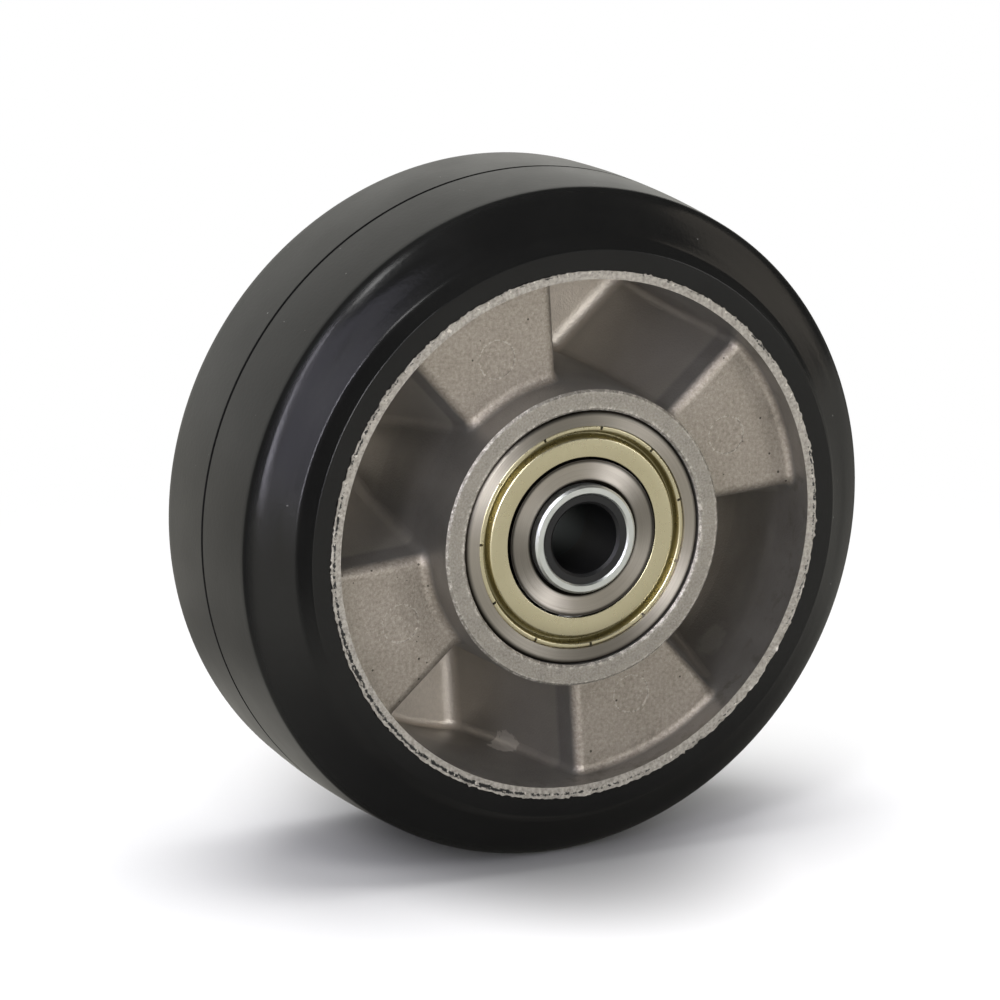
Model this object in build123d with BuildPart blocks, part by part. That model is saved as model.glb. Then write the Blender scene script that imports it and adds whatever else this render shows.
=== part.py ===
from build123d import *
import math
import os

# Trolley wheel with a vulcanised rubber tyre, millimetres.
# The origin is the wheel's centre. It spins about the Y axis, the front is towards -Y and Z is up.
# In each revolved section x is the radius and y the distance along the axle.

# Tyre
tyre_diameter = 125.0
tyre_width = 50.0
tread_width = 34.0
crown_drop = 0.7  # the tread is this much lower at its edges
shoulder_round = 2.0
bevel_height = 8.5  # from the tyre's radius down to the bevel's inner edge
bevel_step = 3.3  # from the sidewall back to the bevel's inner edge
band_height = 10.5  # from the tyre's radius down to the raised sidewall band
band_step = 0.6
rubber_thickness = 12.0

# Cast rim and web
lip_drop = 2.05  # from the rim's bed down to its lips
lip_thickness = 1.5
lip_proud = 0.2  # a lip stands this far out of the tyre's side
bed_width = 38.0
pad_count = 4
pad_angle = 38.0
pad_depth = 5.0  # from the tyre's side back to the web's pads
web_thickness = 5.0
flank_draft = 12.7
wall_draft = 2.0
pad_edge_round = 2.2
floor_fillet = 3.0
hub_fillet = 2.0
rim_fillet = 1.5
pin_mark_diameter = 7.0  # left by the ejector pin in the middle of each pad
pin_mark_radius = 35.5
pin_mark_depth = 0.15

# Hub
hub_length = 55.0
hub_wall = 3.8
hub_edge = 0.4
bearing_recess = 0.4
seat_shoulder = 3.0

# Deep-groove ball bearings
bearing_bore = 20.0
bearing_outer = 47.0
bearing_width = 14.0
ball_count = 8
ball_diameter = 7.938
pitch_diameter = 33.5
race_clearance = 0.03
groove_conformity = 1.04
inner_shoulder = 4.4  # thickness of the inner ring beside its groove
outer_shoulder = 3.9
outer_corner = 1.0
inner_corner = 0.7
shield_seat = 2.9  # thickness of the outer ring at the shield's seat
shield_seat_depth = 1.7
shield_sheet = 0.4
shield_gap = 0.4  # between the shield's bore and the inner ring
shield_flat = 3.5
shield_recess = 0.3
shield_valley = 1.0  # from the flat down to the valley's floor
shield_slope = 0.45
shield_curl = 1.1  # the rolled rim's width
shield_notches = 11
shield_notch_width = 0.7
shield_notch_start = 13.4
cage_sheet = 0.65
cage_clearance = 0.12
cage_band = 3.2
rivet_diameter = 0.9
rivet_head = 1.7
rivet_head_height = 0.35

# Axle tube, spacer and reducing bushes
axle_stand = 1.0  # the tube's ends stand this far out of the hub
axle_bore = 16.4
axle_chamfer = 0.4
spacer_wall = 2.5
bush_bore = 13.0
bush_length = 13.5
bush_recess = 0.3
bush_chamfer = 0.5

# Worked out from the sizes above
tyre_radius = tyre_diameter / 2
side = tyre_width / 2
bed_radius = tyre_radius - rubber_thickness
lip_outer_radius = bed_radius - lip_drop
lip_inner_radius = lip_outer_radius - lip_thickness
lip_face = side + lip_proud
pad_face = side - pad_depth
floor_level = web_thickness - pad_face
hub_face = hub_length / 2
bearing_outer_radius = bearing_outer / 2
bearing_bore_radius = bearing_bore / 2
hub_radius = bearing_outer_radius + hub_wall
bearing_face = hub_face - bearing_recess
bearing_centre = bearing_face - bearing_width / 2
seat_bottom = bearing_face - bearing_width
pitch_radius = pitch_diameter / 2
ball_radius = ball_diameter / 2
groove_radius = ball_radius * groove_conformity
inner_shoulder_radius = bearing_bore_radius + inner_shoulder
outer_shoulder_radius = bearing_outer_radius - outer_shoulder
shield_seat_radius = bearing_outer_radius - shield_seat
axle_length = hub_length + 2 * axle_stand
axle_end = axle_length / 2
wall_tolerance = 0.2
ends = (("front", -1), ("rear", 1))

os.makedirs("parts", exist_ok=True)


def hub_wall_radius(height):
    """Radius of the hub's outer wall, which widens with depth so that it leaves its mould."""
    return hub_radius + (hub_face - height) * math.tan(math.radians(wall_draft))


def rim_wall_radius(height):
    """Radius of the rim's inner wall, which narrows with depth."""
    return lip_inner_radius - (lip_face - height) * math.tan(math.radians(wall_draft))


def on_wall(edge, low, high):
    """Whether an edge lies on the hub's or the rim's wall, where the web meets it."""
    middle = edge.position_at(0.5)
    radius = math.hypot(middle.X, middle.Z)
    return low - wall_tolerance < radius < high + wall_tolerance and abs(middle.Y) < pad_face + wall_tolerance


def save(piece, name):
    piece.part.label = name
    export_step(piece.part, f"parts/{name}.step")


# Tyre: solid rubber bonded to the rim's bed. Half the section is drawn and mirrored over the parting line.
tread_edge = tread_width / 2
with BuildPart() as tyre:
    with BuildSketch(Plane.XY) as tyre_section:
        with BuildLine():
            ThreePointArc(
                (tyre_radius, 0),
                (tyre_radius - crown_drop / 4, tread_edge / 2),
                (tyre_radius - crown_drop, tread_edge),
            )
            Polyline(
                (tyre_radius - crown_drop, tread_edge),
                (tyre_radius - bevel_height, side - bevel_step),
                (tyre_radius - band_height, side - band_step),
                (tyre_radius - band_height, side),
                (lip_outer_radius, side),
                (lip_outer_radius, bed_width / 2 + lip_drop),
                (bed_radius, bed_width / 2),
                (bed_radius, 0),
                (tyre_radius, 0),
            )
        make_face()
        shoulder = tyre_section.vertices().sort_by_distance((tyre_radius - crown_drop, tread_edge))[0]
        fillet(shoulder, radius=shoulder_round)
        mirror(about=Plane.XZ)
    revolve(axis=Axis.Y)
save(tyre, "tyre")


# One pocket of the web, as the core that leaves it: its mouth faces +Z and it points along +X.
# A flank is a straight wall that starts on a radial line at the pad's edge and leans in towards the floor.
mouth_top = hub_face
flank_lean = (pad_face - floor_level) * math.tan(math.radians(flank_draft))
half_mouth = math.radians(180 / pad_count - pad_angle / 2)
flank_plane = Plane(
    origin=(0, 0, 0),
    x_dir=(math.sin(half_mouth), math.cos(half_mouth), 0),
    z_dir=(math.cos(half_mouth), -math.sin(half_mouth), 0),
)
with BuildPart() as pocket:
    with BuildSketch(flank_plane) as flank:
        with BuildLine():
            Polyline(
                (-pad_edge_round, mouth_top),
                (-pad_edge_round, pad_face),
                (0, pad_face),
                (flank_lean, floor_level),
                (tyre_radius, floor_level),
                (tyre_radius, mouth_top),
                close=True,
            )
        make_face()
        pad_edge = flank.vertices().sort_by_distance((0, pad_face))[0]
        fillet(pad_edge, radius=pad_edge_round)
        floor_edge = flank.vertices().sort_by_distance((flank_lean, floor_level))[0]
        fillet(floor_edge, radius=floor_fillet)
    extrude(amount=tyre_radius)
    mirror(about=Plane.XZ, mode=Mode.INTERSECT)


# Wheel centre: hub, web and rim are one aluminium casting. The web is a corrugated disc: pockets cut
# from the front and, half a pitch on, from the rear leave pads, sloping walls and floors.
with BuildPart() as wheel_centre:
    web_inside = bearing_outer_radius + hub_wall / 2
    web_outside = (lip_inner_radius + bed_radius) / 2
    with BuildSketch(Plane.XY):
        with Locations(((web_inside + web_outside) / 2, 0)):
            Rectangle(web_outside - web_inside, 2 * pad_face)
    revolve(axis=Axis.Y)
    for outward in (-1, 1):
        with Locations(Plane(origin=(0, 0, 0), x_dir=(1, 0, 0), z_dir=(0, outward, 0))):
            with PolarLocations(0, pad_count, start_angle=270 / pad_count):
                add(pocket.part, mode=Mode.SUBTRACT)
    with BuildSketch(Plane.XY) as hub_section:
        with BuildLine():
            Polyline(
                (bearing_outer_radius - seat_shoulder, 0),
                (bearing_outer_radius - seat_shoulder, seat_bottom),
                (bearing_outer_radius, seat_bottom),
                (bearing_outer_radius, hub_face),
                (hub_radius, hub_face),
                (hub_wall_radius(0), 0),
                close=True,
            )
        make_face()
        face_corners = hub_section.vertices().group_by(Axis.Y)[-1]
        chamfer(face_corners, length=hub_edge)
        mirror(about=Plane.XZ)
    revolve(axis=Axis.Y)
    with BuildSketch(Plane.XY):
        with BuildLine():
            Polyline(
                (rim_wall_radius(0), 0),
                (lip_inner_radius, lip_face),
                (lip_outer_radius, lip_face),
                (lip_outer_radius, bed_width / 2 + lip_drop),
                (bed_radius, bed_width / 2),
                (bed_radius, 0),
                close=True,
            )
        make_face()
        mirror(about=Plane.XZ)
    revolve(axis=Axis.Y)
    # The web runs into the hub and the rim with a cast fillet, up and down over pads, walls and floors.
    web_seam = wheel_centre.edges().filter_by(GeomType.LINE, reverse=True)
    hub_seam = web_seam.filter_by(lambda edge: on_wall(edge, hub_radius, hub_wall_radius(floor_level)))
    fillet(hub_seam, radius=hub_fillet)
    web_seam = wheel_centre.edges().filter_by(GeomType.LINE, reverse=True)
    rim_seam = web_seam.filter_by(lambda edge: on_wall(edge, rim_wall_radius(floor_level), lip_inner_radius))
    fillet(rim_seam, radius=rim_fillet)
    # A round witness mark in the middle of every pad.
    for outward in (-1, 1):
        with Locations(Plane(origin=(0, outward * pad_face, 0), x_dir=(1, 0, 0), z_dir=(0, outward, 0))):
            with PolarLocations(pin_mark_radius, pad_count, start_angle=450 / pad_count):
                Cylinder(pin_mark_diameter / 2, 2 * pin_mark_depth, mode=Mode.SUBTRACT)
save(wheel_centre, "wheel_centre")


# Bearings: one at each end of the hub. The outer rings, with their shields, turn with the wheel.
# The inner rings are clamped on the axle tube, and the balls roll between them in a riveted cage.
groove_offset = groove_radius - ball_radius - race_clearance
for end, outward in ends:
    centre = outward * bearing_centre
    bearing_plane = Plane(origin=(0, centre, 0), x_dir=(1, 0, 0), z_dir=(0, outward, 0))

    with BuildPart() as outer_ring:
        with BuildSketch(Plane.XY) as ring_section:
            with Locations(((outer_shoulder_radius + bearing_outer_radius) / 2, centre)):
                Rectangle(outer_shoulder, bearing_width)
            outside_corners = ring_section.vertices().group_by(Axis.X)[-1]
            fillet(outside_corners, radius=outer_corner)
            with Locations((pitch_radius - groove_offset, centre)):
                Circle(groove_radius, mode=Mode.SUBTRACT)
            seat_middle = (bearing_width - shield_seat_depth) / 2
            seat_width = 2 * (shield_seat_radius - outer_shoulder_radius)
            for side_middle in (centre - seat_middle, centre + seat_middle):
                with Locations((outer_shoulder_radius, side_middle)):
                    Rectangle(seat_width, shield_seat_depth, mode=Mode.SUBTRACT)
        revolve(axis=Axis.Y)
    save(outer_ring, f"{end}_outer_ring")

    with BuildPart() as inner_ring:
        with BuildSketch(Plane.XY) as ring_section:
            with Locations(((bearing_bore_radius + inner_shoulder_radius) / 2, centre)):
                Rectangle(inner_shoulder, bearing_width)
            bore_corners = ring_section.vertices().group_by(Axis.X)[0]
            chamfer(bore_corners, length=inner_corner)
            with Locations((pitch_radius + groove_offset, centre)):
                Circle(groove_radius, mode=Mode.SUBTRACT)
        revolve(axis=Axis.Y)
    save(inner_ring, f"{end}_inner_ring")

    # Shields: pressed sheet, flat over the balls, then a valley, and a rolled rim notched so that it snaps in.
    shield_bore_radius = inner_shoulder_radius + shield_gap
    flat_radius = shield_bore_radius + shield_flat
    flat_height = bearing_width / 2 - shield_recess - shield_sheet / 2
    valley_height = flat_height - shield_valley
    rim_radius = shield_seat_radius - shield_sheet / 2
    curl_radius = shield_seat_radius - shield_curl + shield_sheet / 2
    for shield_name, facing in (("outboard", outward), ("inboard", -outward)):
        with BuildPart() as shield:
            with BuildSketch(Plane.XY):
                with BuildLine():
                    Polyline(
                        (shield_bore_radius, centre + facing * flat_height),
                        (flat_radius, centre + facing * flat_height),
                        (flat_radius + shield_slope, centre + facing * valley_height),
                        (curl_radius - shield_slope, centre + facing * valley_height),
                        (curl_radius, centre + facing * flat_height),
                        (rim_radius, centre + facing * flat_height),
                        (rim_radius, centre + facing * valley_height),
                    )
                trace(line_width=shield_sheet)
            revolve(axis=Axis.Y)
            with Locations(Plane(origin=(0, centre, 0), x_dir=(1, 0, 0), z_dir=(0, facing, 0))):
                with PolarLocations(shield_seat_radius, shield_notches, start_angle=shield_notch_start):
                    Box(
                        2 * shield_curl,
                        shield_notch_width,
                        bearing_width,
                        align=(Align.CENTER, Align.CENTER, Align.MIN),
                        mode=Mode.SUBTRACT,
                    )
        save(shield, f"{end}_{shield_name}_shield")

    # Cage: two pressed ribbons that close around the balls and are riveted between them.
    for half_name, facing in (("outboard", outward), ("inboard", -outward)):
        with BuildPart() as cage_half:
            with BuildSketch(Plane(origin=(0, centre, 0), x_dir=(1, 0, 0), z_dir=(0, facing, 0))):
                Circle(pitch_radius + cage_band / 2)
                Circle(pitch_radius - cage_band / 2, mode=Mode.SUBTRACT)
            extrude(amount=cage_sheet)
            with Locations(bearing_plane):
                with PolarLocations(pitch_radius, ball_count):
                    Sphere(ball_radius + cage_clearance + cage_sheet)
                with PolarLocations(pitch_radius, ball_count):
                    Sphere(ball_radius + cage_clearance, mode=Mode.SUBTRACT)
                with PolarLocations(pitch_radius, ball_count, start_angle=180 / ball_count):
                    Cylinder(rivet_diameter / 2, bearing_width, mode=Mode.SUBTRACT)
            with BuildSketch(Plane(origin=(0, centre, 0), x_dir=(1, 0, 0), z_dir=(0, facing, 0))):
                Circle(pitch_radius + cage_band / 2)
                Circle(pitch_radius - cage_band / 2, mode=Mode.SUBTRACT)
            extrude(amount=bearing_width / 2, mode=Mode.INTERSECT)
        save(cage_half, f"{end}_{half_name}_cage_half")

    with BuildPart() as rivets:
        with Locations(bearing_plane):
            with PolarLocations(pitch_radius, ball_count, start_angle=180 / ball_count):
                Cylinder(rivet_diameter / 2, 2 * cage_sheet)
                with Locations((0, 0, cage_sheet)):
                    Cylinder(rivet_head / 2, rivet_head_height, align=(Align.CENTER, Align.CENTER, Align.MIN))
                with Locations((0, 0, -cage_sheet)):
                    Cylinder(rivet_head / 2, rivet_head_height, align=(Align.CENTER, Align.CENTER, Align.MAX))
    save(rivets, f"{end}_cage_rivets")

    for number in range(ball_count):
        angle = number * 360 / ball_count
        with BuildPart() as ball:
            with Locations(bearing_plane):
                with PolarLocations(pitch_radius, 1, start_angle=angle):
                    Sphere(ball_radius)
        save(ball, f"{end}_ball_{number + 1}")


# Axle tube: zinc-plated steel, right through both bearings, so that a fork clamps its two ends.
with BuildPart() as axle_tube:
    with BuildSketch(Plane.XY) as tube_section:
        with Locations(((bearing_bore_radius + axle_bore / 2) / 2, 0)):
            Rectangle(bearing_bore_radius - axle_bore / 2, axle_length)
        chamfer(tube_section.vertices(), length=axle_chamfer)
    revolve(axis=Axis.Y)
save(axle_tube, "axle_tube")

# Spacer: holds the two inner rings apart on the axle tube.
with BuildPart() as spacer:
    with BuildSketch(Plane.XY):
        with Locations((bearing_bore_radius + spacer_wall / 2, 0)):
            Rectangle(spacer_wall, 2 * seat_bottom)
    revolve(axis=Axis.Y)
save(spacer, "bearing_spacer")

# Reducing bushes: a black plastic sleeve in each end of the axle tube.
for end, outward in ends:
    bush_centre = outward * (axle_end - bush_recess - bush_length / 2)
    with BuildPart() as bush:
        with BuildSketch(Plane.XY) as bush_section:
            with Locations(((bush_bore + axle_bore) / 4, bush_centre)):
                Rectangle((axle_bore - bush_bore) / 2, bush_length)
            bore_corners = bush_section.vertices().group_by(Axis.X)[0]
            chamfer(bore_corners, length=bush_chamfer)
        revolve(axis=Axis.Y)
    save(bush, f"{end}_bush")
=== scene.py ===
# %% [markdown]
# # A trolley wheel with a rubber tyre
#
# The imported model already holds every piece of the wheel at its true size: the tyre, the cast centre, two ball
# bearings and the axle tube. This lesson dresses them. We look through a camera like the photographer's, light
# the wheel plainly, remodel the pieces whose real edges are finer than a CAD solid's, and give each piece the
# finish of its real material.

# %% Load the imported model
import math

import bmesh
import bpy
from mathutils import Matrix, Vector


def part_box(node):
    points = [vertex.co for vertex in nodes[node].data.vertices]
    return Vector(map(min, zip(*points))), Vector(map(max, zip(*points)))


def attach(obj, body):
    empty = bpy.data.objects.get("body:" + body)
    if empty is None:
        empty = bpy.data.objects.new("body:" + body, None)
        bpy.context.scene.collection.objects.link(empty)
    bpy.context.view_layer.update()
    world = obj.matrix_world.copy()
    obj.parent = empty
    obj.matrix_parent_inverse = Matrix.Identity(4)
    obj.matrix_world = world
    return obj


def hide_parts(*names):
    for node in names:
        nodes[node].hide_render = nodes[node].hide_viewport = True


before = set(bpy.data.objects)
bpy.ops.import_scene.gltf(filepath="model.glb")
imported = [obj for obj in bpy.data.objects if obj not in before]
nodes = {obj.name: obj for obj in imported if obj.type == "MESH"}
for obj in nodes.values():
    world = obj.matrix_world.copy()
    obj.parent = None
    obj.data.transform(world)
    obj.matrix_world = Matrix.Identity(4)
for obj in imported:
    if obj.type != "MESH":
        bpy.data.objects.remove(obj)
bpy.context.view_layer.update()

MM = 0.001

# %% [markdown]
# ## The camera
#
# The photograph was taken from the left and a little above, with a long lens from 1.3 metres away. That keeps the
# far side of the wheel nearly as large as the near side. The direction, distance and focal length come from
# fitting the wheel's circles to the photograph.

# %% Set up the camera
azimuth = math.radians(-26.43)
elevation = math.radians(15.13)
towards_camera = Vector((
    math.sin(azimuth) * math.cos(elevation),
    -math.cos(azimuth) * math.cos(elevation),
    math.sin(elevation),
))
bpy.ops.object.camera_add(
    location=Vector((-563.2, -1126.9, 341.1)) * MM,
    rotation=towards_camera.to_track_quat("Z", "Y").to_euler(),
)
camera = bpy.context.object
camera.name = "camera"
camera.data.sensor_width = 36
camera.data.lens = 257.8
bpy.context.scene.camera = camera
print("camera at", [round(x, 3) for x in camera.location], "lens", round(camera.data.lens, 1))

# %% [markdown]
# ## Colours and nodes
#
# A photograph's colours are written as sRGB hex values, while Blender's sockets take linear light, so one function
# turns the first into the second. Another adds a shader node with its settings and links. Every material below is
# built with these two.

# %% Two small helpers
def linear(hex_colour):
    """An sRGB hex colour as the linear values that a socket takes."""
    parts = [int(hex_colour[i:i + 2], 16) / 255 for i in (1, 3, 5)]
    return [*(c / 12.92 if c <= 0.04045 else ((c + 0.055) / 1.055) ** 2.4 for c in parts), 1.0]


def add_node(tree, kind, inputs=None, **settings):
    """One shader node: each input is a number, a colour or the output of another node."""
    node = tree.nodes.new(f"ShaderNode{kind}")
    for setting, value in settings.items():
        setattr(node, setting, value)
    for socket, value in (inputs or {}).items():
        if isinstance(value, bpy.types.NodeSocket):
            tree.links.new(value, node.inputs[socket])
        else:
            node.inputs[socket].default_value = value
    return node


print("black rubber in linear light:", [round(c, 4) for c in linear("#17171a")])

# %% [markdown]
# ## The background and the floor
#
# The wheel stands on a white table in front of a white sweep. The camera sees the sweep as pure white. Glossy
# pieces mirror it only where it stands, straight behind the wheel. The rest of the room is dark, and rubber shows
# that as its deep black. So the world is mixed by kind of ray: white for the camera, the sweep for mirror images,
# and an even dim grey for everything else.

# %% Light the world
world = bpy.data.worlds.new("studio")
bpy.context.scene.world = world
world.use_nodes = True
tree = world.node_tree
tree.nodes.clear()
way = add_node(tree, "TexCoord").outputs["Generated"]
way_back = add_node(tree, "SeparateXYZ", {"Vector": way}).outputs["Y"]
sweep_starts, sweep_full = 0.5, 0.86
sweep = add_node(tree, "MapRange", {
    "Value": way_back, "From Min": sweep_starts, "From Max": sweep_full, "To Min": 0.05, "To Max": 1.2,
}, interpolation_type="SMOOTHSTEP")
room = add_node(tree, "Background", {"Color": linear("#f6f6f6"), "Strength": 0.3})
reflected = add_node(tree, "Background", {"Color": linear("#fdfcf5"), "Strength": sweep.outputs["Result"]})
white = add_node(tree, "Background", {"Color": linear("#ffffff"), "Strength": 1.0})
ray = add_node(tree, "LightPath")
mirrored = add_node(tree, "Math", {0: ray.outputs["Is Glossy Ray"], 1: ray.outputs["Is Transmission Ray"]},
                    operation="MAXIMUM")
around = add_node(tree, "MixShader", {0: mirrored.outputs[0], 1: room.outputs[0], 2: reflected.outputs[0]})
seen = add_node(tree, "MixShader", {0: ray.outputs["Is Camera Ray"], 1: around.outputs[0], 2: white.outputs[0]})
add_node(tree, "OutputWorld", {"Surface": seen.outputs[0]})
print("world:", len(tree.nodes), "nodes")

# %% [markdown]
# The table is one large plane at the tyre's lowest point. It is stage: it belongs to the picture and not to the
# wheel.

# %% Lay the floor
floor_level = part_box("tyre")[0][2]
bpy.ops.object.select_all(action="DESELECT")
bpy.ops.mesh.primitive_plane_add(size=8, location=(0, 0, floor_level))
floor = bpy.context.object
floor.name = "floor"
bpy.ops.object.transform_apply(location=True, rotation=False, scale=False)
print("floor at", round(floor_level / MM, 2), "mm")

# %% [markdown]
# Glossy rubber and steel mirror the table, so what they see of it draws much of their look. For them the table glows
# with a painted reflection. It is white straight behind, half as bright in front, dim in between, and bright on the
# left where a lamp stands over it. Under the wheel it is dark, as a painted shadow. Straight to the left it ends,
# which draws the black lines along the tyre's shoulder. The low part of the tread mirrors a painted lit patch close
# behind the wheel, on the left. Each row of the list turns a measure into a strength: the area, the measure, its two
# ends, and the strength at each end.

# %% What reflections see of the table
def new_material(name):
    """A new material and its empty node tree."""
    material = bpy.data.materials.new(name)
    material.use_nodes = True
    tree = material.node_tree
    tree.nodes.clear()
    return material, tree


white_table, tree = new_material("white_table")
place = add_node(tree, "TexCoord").outputs["Object"]
from_wheel = add_node(tree, "VectorMath", {0: place}, operation="LENGTH").outputs["Value"]
way_out = add_node(tree, "VectorMath", {0: place}, operation="NORMALIZE").outputs["Vector"]
way_out = add_node(tree, "SeparateXYZ", {"Vector": way_out})
spot = add_node(tree, "SeparateXYZ", {"Vector": place})
table_areas = {}
for area, measure, start, end, at_start, at_end in (
    ("behind", way_out.outputs["Y"], 0.7, 0.84, 0.2, 0.95),
    ("in_front", way_out.outputs["Y"], 0.1, 0.4, 0.5, 0.2),
    ("left_front", way_out.outputs["X"], -0.65, -0.3, 0.8, 0.0),
    ("table_end", way_out.outputs["X"], -0.96, -0.8, 0.08, 1.0),
    ("painted_shadow_under_wheel", from_wheel, 0.075, 0.17, 0.15, 1.0),
    ("painted_patch_left", spot.outputs["X"], -0.01, -0.03, 0.0, 0.75),
    ("painted_patch_behind", spot.outputs["Y"], 0.0, 0.02, 0.0, 1.0),
    ("painted_patch_close", from_wheel, 0.10, 0.17, 1.0, 0.0),
):
    table_areas[area] = add_node(tree, "MapRange", {
        "Value": measure, "From Min": start, "From Max": end, "To Min": at_start, "To Max": at_end,
    }).outputs["Result"]

# These strengths make a painted reflection, with a painted shadow under the wheel and a painted lit patch on the
# left.
strength = table_areas["behind"]
for area, operation in (("in_front", "MAXIMUM"), ("left_front", "MAXIMUM"),
                        ("table_end", "MULTIPLY"), ("painted_shadow_under_wheel", "MULTIPLY")):
    strength = add_node(tree, "Math", {0: strength, 1: table_areas[area]}, operation=operation).outputs[0]
patch = table_areas["painted_patch_left"]
for area in ("painted_patch_behind", "painted_patch_close"):
    patch = add_node(tree, "Math", {0: patch, 1: table_areas[area]}, operation="MULTIPLY").outputs[0]
strength = add_node(tree, "Math", {0: strength, 1: patch}, operation="MAXIMUM").outputs[0]
print("the table's mirror image is built from", len(table_areas), "areas")

# %% [markdown]
# Near the wheel the camera sees a matt white table. It catches the wheel's soft shadow and has a painted shadow, a
# darker grey, along the line where the tread touches it. Further out the table turns, for the camera, into the same
# pure white as the sweep, so that no horizon shows.

# %% Finish the table
# Painted shadow: the table's colour turns darker grey close to the tread's contact line.
across_line = add_node(tree, "VectorMath", {0: place, 1: (1.0, 0.55, 0.0)}, operation="MULTIPLY").outputs["Vector"]
from_line = add_node(tree, "VectorMath", {0: across_line}, operation="LENGTH").outputs["Value"]
clear = add_node(tree, "MapRange", {"Value": from_line, "From Min": 0.012, "From Max": 0.045},
                 interpolation_type="SMOOTHSTEP")
table_colour_with_painted_shadow = add_node(tree, "MixRGB", {0: clear.outputs["Result"], 1: linear("#a8a8a8"), 2: linear("#fbfbfb")})
matt = add_node(tree, "BsdfDiffuse", {"Color": table_colour_with_painted_shadow.outputs["Color"]})
glow = add_node(tree, "Emission", {"Color": linear("#ffffff"), "Strength": 1.0})
# Painted reflection: the glow that glossy rays see on the table.
painted_reflection = add_node(tree, "Emission", {"Color": linear("#fffcf2"), "Strength": strength})
far = add_node(tree, "MapRange", {"Value": from_wheel, "From Min": 0.10, "From Max": 0.27},
               interpolation_type="SMOOTHSTEP")
ray = add_node(tree, "LightPath")
seen = add_node(tree, "Math", {0: far.outputs["Result"], 1: ray.outputs["Is Camera Ray"]}, operation="MULTIPLY")
mirrored = add_node(tree, "Math", {0: ray.outputs["Is Glossy Ray"], 1: ray.outputs["Is Transmission Ray"]},
                    operation="MAXIMUM")
surface = add_node(tree, "MixShader", {0: seen.outputs[0], 1: matt.outputs[0], 2: glow.outputs[0]})
surface = add_node(tree, "MixShader", {0: mirrored.outputs[0], 1: surface.outputs[0], 2: painted_reflection.outputs[0]})
add_node(tree, "OutputMaterial", {"Surface": surface.outputs[0]})
floor.data.materials.append(white_table)
print("floor finished with", white_table.name)

# %% [markdown]
# ## The lamps
#
# Light and shade tell where the photographer's lamps stood. No shadow shows in the deep pockets, so the main lamp
# stood beside the camera. The bevel shines from eight to eleven o'clock, which mirrors a tall dim softbox on the
# left with a smaller one above it. The thin bright lines at the bevel's foot and shoulder are a narrow strip on the
# left and a small lamp at the upper left. A wide warm lamp draws the right shoulder, and a low one lights the lower
# right. The short soft shadow under the wheel needs a wide lamp overhead. The photograph shows no mirror image of
# that one, so it is left out of reflections.

# %% Hang the lamps
def softbox(name, place, size, watts, colour="#ffffff"):
    """A rectangular lamp in metres that faces the wheel's centre."""
    place = Vector(place)
    bpy.ops.object.light_add(type="AREA", location=place, rotation=place.to_track_quat("Z", "Y").to_euler())
    lamp = bpy.context.object
    lamp.name = name
    lamp.data.shape = "RECTANGLE"
    lamp.data.size, lamp.data.size_y = size
    lamp.data.energy = watts
    lamp.data.color = linear(colour)[:3]
    return lamp


softbox("lamp_beside_camera", (-0.31, -1.242, 0.226), (0.4, 0.4), 6.3)
softbox("lamp_left", (-0.70, -1.04, 0.36), (0.40, 0.95), 2.0, "#e9e7fb")
softbox("lamp_left_top", (-0.285, -1.066, 0.69), (0.34, 0.30), 0.45, "#e9e7fb")
softbox("strip_left", (-0.936, -0.785, 0.445), (0.07, 1.0), 4.2, "#efedfb")
softbox("lamp_upper_left", (-0.47, -0.65, 1.02), (0.16, 0.34), 1.7)
softbox("lamp_lower_right", (0.86, -0.95, 0.20), (0.25, 0.45), 1.6)
lamp_overhead = softbox("lamp_overhead", (0.05, 0.10, 1.1), (0.9, 0.9), 11.0)
lamp_overhead.visible_glossy = False
softbox("strip_right", (0.966, -0.259, 0.25), (0.35, 0.9), 0.75, "#fff3e2")

# %% [markdown]
# ## Turned shapes
#
# The tyre and the shields are bodies of revolution. By hand one draws half of the section as a flat outline, rounds
# its corners, and spins it about the axle. The functions do the same: they start from one corner, extrude the
# outline corner by corner, bevel each corner by its own amount, and spin the result.

# %% Draw a section
def draw_outline(name, corners):
    """A closed flat outline through corners given in millimetres as (radius, along the axle, rounding)."""
    bpy.ops.object.select_all(action="DESELECT")
    bpy.ops.mesh.primitive_plane_add(size=MM)
    piece = bpy.context.object
    piece.name = piece.data.name = name
    bpy.ops.object.mode_set(mode="EDIT")
    bpy.ops.mesh.select_all(action="SELECT")
    bpy.ops.mesh.merge(type="CENTER")
    before = Vector((0, 0, 0))
    for number, (radius, along, rounding) in enumerate(corners):
        corner = Vector((radius, along, 0)) * MM
        if number == 0:
            bpy.ops.transform.translate(value=corner - before)
        else:
            bpy.ops.mesh.extrude_vertices_move(TRANSFORM_OT_translate={"value": corner - before})
        before = corner
    bpy.ops.mesh.select_all(action="SELECT")
    bpy.ops.mesh.edge_face_add()
    for radius, along, rounding in corners:
        if rounding:
            pick_nearest(piece, Vector((radius, along, 0)) * MM)
            bpy.ops.mesh.bevel(offset=rounding * MM, segments=4, profile=0.5, affect="VERTICES")
    return piece


def pick_nearest(piece, place):
    """In edit mode, selects only the vertex nearest to a place."""
    bpy.ops.mesh.select_all(action="DESELECT")
    bpy.ops.mesh.select_mode(type="VERT")
    drawn = bmesh.from_edit_mesh(piece.data)
    nearest = min(drawn.verts, key=lambda vertex: (vertex.co - place).length)
    nearest.select_set(True)
    drawn.select_flush_mode()
    bmesh.update_edit_mesh(piece.data)


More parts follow.
